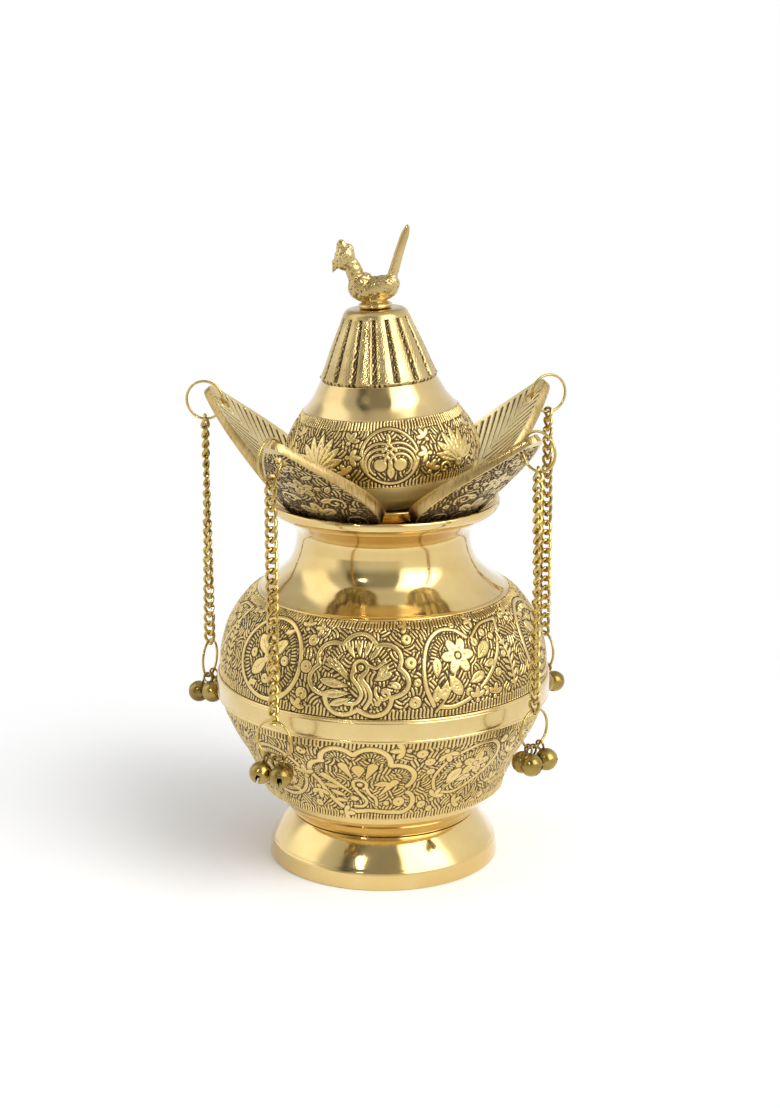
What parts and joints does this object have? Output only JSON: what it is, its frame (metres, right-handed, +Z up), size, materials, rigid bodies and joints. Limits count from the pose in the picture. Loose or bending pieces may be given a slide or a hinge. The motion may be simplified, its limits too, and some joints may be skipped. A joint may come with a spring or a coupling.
{
  "type": "brass kalash with coconut lid",
  "caption": "Engraved brass ritual water pot with a lid of upturned leaves round a hollow metal coconut, a bird finial, and fine chains of small bells hanging from the leaf tips.",
  "frame": {"origin": "centre of the pot's round foot, in the plane the foot stands on", "axes": "+Z up along the pot's turned axis; -Y is the front of the pot, the side in the picture; +X is its right side seen from the front"},
  "size_m": [0.1464, 0.1503, 0.24],
  "materials": {
    "polished": "turned and polished brass",
    "engraved": "hand engraved brass with dark patina left in the cuts",
    "cast": "cast and chased brass with filed edges",
    "wire": "bright drawn brass wire",
    "bell": "pressed brass, lightly tarnished",
    "steel": "plain steel"
  },
  "bodies": {
    "pot": {"foot": "polished", "lower_bowl": "engraved", "belly_band": "polished", "upper_bowl": "engraved"},
    "lid": {"leaf_cup": "polished", "leaf_1": "cast", "leaf_2": "cast", "leaf_3": "cast", "leaf_4": "cast", "leaf_5": "cast", "coconut_lower": "polished", "coconut_body": "engraved", "coconut_crown": "polished", "bird_finial": "cast", "lid_bolt": "steel"},
    "tip_ring_1": {"tip_ring_1": "wire"},
    "chain_1": {"chain_1": "wire"},
    "bell_ring_1": {"bell_ring_1": "wire"},
    "bell_left_1": {"bell_left_1": "bell", "pea_left_1": "steel"},
    "bell_right_1": {"bell_right_1": "bell", "pea_right_1": "steel"},
    "bell_low_1": {"bell_low_1": "bell", "pea_low_1": "steel"},
    "tip_ring_2": {"tip_ring_2": "wire"},
    "chain_2": {"chain_2": "wire"},
    "bell_ring_2": {"bell_ring_2": "wire"},
    "bell_left_2": {"bell_left_2": "bell", "pea_left_2": "steel"},
    "bell_right_2": {"bell_right_2": "bell", "pea_right_2": "steel"},
    "bell_low_2": {"bell_low_2": "bell", "pea_low_2": "steel"},
    "tip_ring_3": {"tip_ring_3": "wire"},
    "chain_3": {"chain_3": "wire"},
    "bell_ring_3": {"bell_ring_3": "wire"},
    "bell_left_3": {"bell_left_3": "bell", "pea_left_3": "steel"},
    "bell_right_3": {"bell_right_3": "bell", "pea_right_3": "steel"},
    "bell_low_3": {"bell_low_3": "bell", "pea_low_3": "steel"},
    "tip_ring_4": {"tip_ring_4": "wire"},
    "chain_4": {"chain_4": "wire"},
    "bell_ring_4": {"bell_ring_4": "wire"},
    "bell_left_4": {"bell_left_4": "bell", "pea_left_4": "steel"},
    "bell_right_4": {"bell_right_4": "bell", "pea_right_4": "steel"},
    "bell_low_4": {"bell_low_4": "bell", "pea_low_4": "steel"},
    "tip_ring_5": {"tip_ring_5": "wire"},
    "chain_5": {"chain_5": "wire"},
    "bell_ring_5": {"bell_ring_5": "wire"},
    "bell_left_5": {"bell_left_5": "bell", "pea_left_5": "steel"},
    "bell_right_5": {"bell_right_5": "bell", "pea_right_5": "steel"},
    "bell_low_5": {"bell_low_5": "bell", "pea_low_5": "steel"}
  },
  "joints": [
    {"name": "lid_lift", "type": "slide", "parent": "pot", "child": "lid", "axis": [0, 0, 1], "range_m": [0, 0.1]},
    {"name": "tip_ring_1_swing", "type": "hinge", "parent": "lid", "child": "tip_ring_1", "pos_m": [-0.03482, -0.05638, 0.16582], "axis": [-0.8508, 0.5255, 0], "range_deg": [0, 45]},
    {"name": "chain_1_swing", "type": "hinge", "parent": "tip_ring_1", "child": "chain_1", "pos_m": [-0.03855, -0.06241, 0.15982], "axis": [-0.5255, -0.8508, 0], "range_deg": [-30, 30]},
    {"name": "bell_ring_1_swing", "type": "hinge", "parent": "chain_1", "child": "bell_ring_1", "pos_m": [-0.03855, -0.06241, 0.07282], "axis": [-0.8508, 0.5255, 0], "range_deg": [-5, 45]},
    {"name": "bell_left_1_swing", "type": "hinge", "parent": "bell_ring_1", "child": "bell_left_1", "pos_m": [-0.04123, -0.06076, 0.05915], "axis": [-0.8508, 0.5255, 0], "range_deg": [0, 40]},
    {"name": "bell_right_1_swing", "type": "hinge", "parent": "bell_ring_1", "child": "bell_right_1", "pos_m": [-0.03586, -0.06407, 0.05915], "axis": [-0.8508, 0.5255, 0], "range_deg": [0, 40]},
    {"name": "bell_low_1_swing", "type": "hinge", "parent": "bell_ring_1", "child": "bell_low_1", "pos_m": [-0.03855, -0.06241, 0.05842], "axis": [0.8508, -0.5255, 0], "range_deg": [0, 20]},
    {"name": "tip_ring_2_swing", "type": "hinge", "parent": "lid", "child": "tip_ring_2", "pos_m": [0.0487, -0.0451, 0.16569], "axis": [-0.6794, -0.7337, 0], "range_deg": [0, 45]},
    {"name": "chain_2_swing", "type": "hinge", "parent": "tip_ring_2", "child": "chain_2", "pos_m": [0.05391, -0.04992, 0.15966], "axis": [0.7337, -0.6794, 0], "range_deg": [-30, 30]},
    {"name": "bell_ring_2_swing", "type": "hinge", "parent": "chain_2", "child": "bell_ring_2", "pos_m": [0.05391, -0.04992, 0.07266], "axis": [-0.6794, -0.7337, 0], "range_deg": [-5, 45]},
    {"name": "bell_left_2_swing", "type": "hinge", "parent": "bell_ring_2", "child": "bell_left_2", "pos_m": [0.05177, -0.05224, 0.05899], "axis": [-0.6794, -0.7337, 0], "range_deg": [0, 40]},
    {"name": "bell_right_2_swing", "type": "hinge", "parent": "bell_ring_2", "child": "bell_right_2", "pos_m": [0.05606, -0.04761, 0.05899], "axis": [-0.6794, -0.7337, 0], "range_deg": [0, 40]},
    {"name": "bell_low_2_swing", "type": "hinge", "parent": "bell_ring_2", "child": "bell_low_2", "pos_m": [0.05391, -0.04992, 0.05826], "axis": [0.6794, 0.7337, 0], "range_deg": [0, 20]},
    {"name": "tip_ring_3_swing", "type": "hinge", "parent": "lid", "child": "tip_ring_3", "pos_m": [0.05648, 0.02743, 0.16962], "axis": [0.4368, -0.8996, 0], "range_deg": [0, 45]},
    {"name": "chain_3_swing", "type": "hinge", "parent": "tip_ring_3", "child": "chain_3", "pos_m": [0.06272, 0.03046, 0.16435], "axis": [0.8996, 0.4368, 0], "range_deg": [-30, 30]},
    {"name": "bell_ring_3_swing", "type": "hinge", "parent": "chain_3", "child": "bell_ring_3", "pos_m": [0.06272, 0.03046, 0.07735], "axis": [0.4368, -0.8996, 0], "range_deg": [-5, 45]},
    {"name": "bell_left_3_swing", "type": "hinge", "parent": "bell_ring_3", "child": "bell_left_3", "pos_m": [0.0641, 0.02762, 0.06368], "axis": [-0.4368, 0.8996, 0], "range_deg": [0, 8]},
    {"name": "bell_right_3_swing", "type": "hinge", "parent": "bell_ring_3", "child": "bell_right_3", "pos_m": [0.06134, 0.0333, 0.06368], "axis": [-0.4368, 0.8996, 0], "range_deg": [0, 8]},
    {"name": "bell_low_3_swing", "type": "hinge", "parent": "bell_ring_3", "child": "bell_low_3", "pos_m": [0.06272, 0.03046, 0.06295], "axis": [0.4368, -0.8996, 0], "range_deg": [0, 40]},
    {"name": "tip_ring_4_swing", "type": "hinge", "parent": "lid", "child": "tip_ring_4", "pos_m": [-0.00447, 0.06385, 0.16834], "axis": [0.9976, 0.0698, 0], "range_deg": [0, 45]},
    {"name": "chain_4_swing", "type": "hinge", "parent": "tip_ring_4", "child": "chain_4", "pos_m": [-0.00495, 0.07084, 0.16282], "axis": [-0.0698, 0.9976, 0], "range_deg": [-30, 30]},
    {"name": "bell_ring_4_swing", "type": "hinge", "parent": "chain_4", "child": "bell_ring_4", "pos_m": [-0.00495, 0.07084, 0.07582], "axis": [0.9976, 0.0698, 0], "range_deg": [-5, 45]},
    {"name": "bell_left_4_swing", "type": "hinge", "parent": "bell_ring_4", "child": "bell_left_4", "pos_m": [-0.0018, 0.07106, 0.06215], "axis": [-0.9976, -0.0698, 0], "range_deg": [0, 8]},
    {"name": "bell_right_4_swing", "type": "hinge", "parent": "bell_ring_4", "child": "bell_right_4", "pos_m": [-0.0081, 0.07062, 0.06215], "axis": [-0.9976, -0.0698, 0], "range_deg": [0, 8]},
    {"name": "bell_low_4_swing", "type": "hinge", "parent": "bell_ring_4", "child": "bell_low_4", "pos_m": [-0.00495, 0.07084, 0.06142], "axis": [0.9976, 0.0698, 0], "range_deg": [0, 40]},
    {"name": "tip_ring_5_swing", "type": "hinge", "parent": "lid", "child": "tip_ring_5", "pos_m": [-0.06034, 0.01937, 0.16901], "axis": [0.3057, 0.9521, 0], "range_deg": [0, 45]},
    {"name": "chain_5_swing", "type": "hinge", "parent": "tip_ring_5", "child": "chain_5", "pos_m": [-0.06698, 0.0215, 0.16363], "axis": [-0.9521, 0.3057, 0], "range_deg": [-30, 30]},
    {"name": "bell_ring_5_swing", "type": "hinge", "parent": "chain_5", "child": "bell_ring_5", "pos_m": [-0.06698, 0.0215, 0.07663], "axis": [0.3057, 0.9521, 0], "range_deg": [-5, 45]},
    {"name": "bell_left_5_swing", "type": "hinge", "parent": "bell_ring_5", "child": "bell_left_5", "pos_m": [-0.06601, 0.02451, 0.06296], "axis": [-0.3057, -0.9521, 0], "range_deg": [0, 8]},
    {"name": "bell_right_5_swing", "type": "hinge", "parent": "bell_ring_5", "child": "bell_right_5", "pos_m": [-0.06794, 0.0185, 0.06296], "axis": [-0.3057, -0.9521, 0], "range_deg": [0, 8]},
    {"name": "bell_low_5_swing", "type": "hinge", "parent": "bell_ring_5", "child": "bell_low_5", "pos_m": [-0.06698, 0.0215, 0.06223], "axis": [0.3057, 0.9521, 0], "range_deg": [0, 40]}
  ]
}
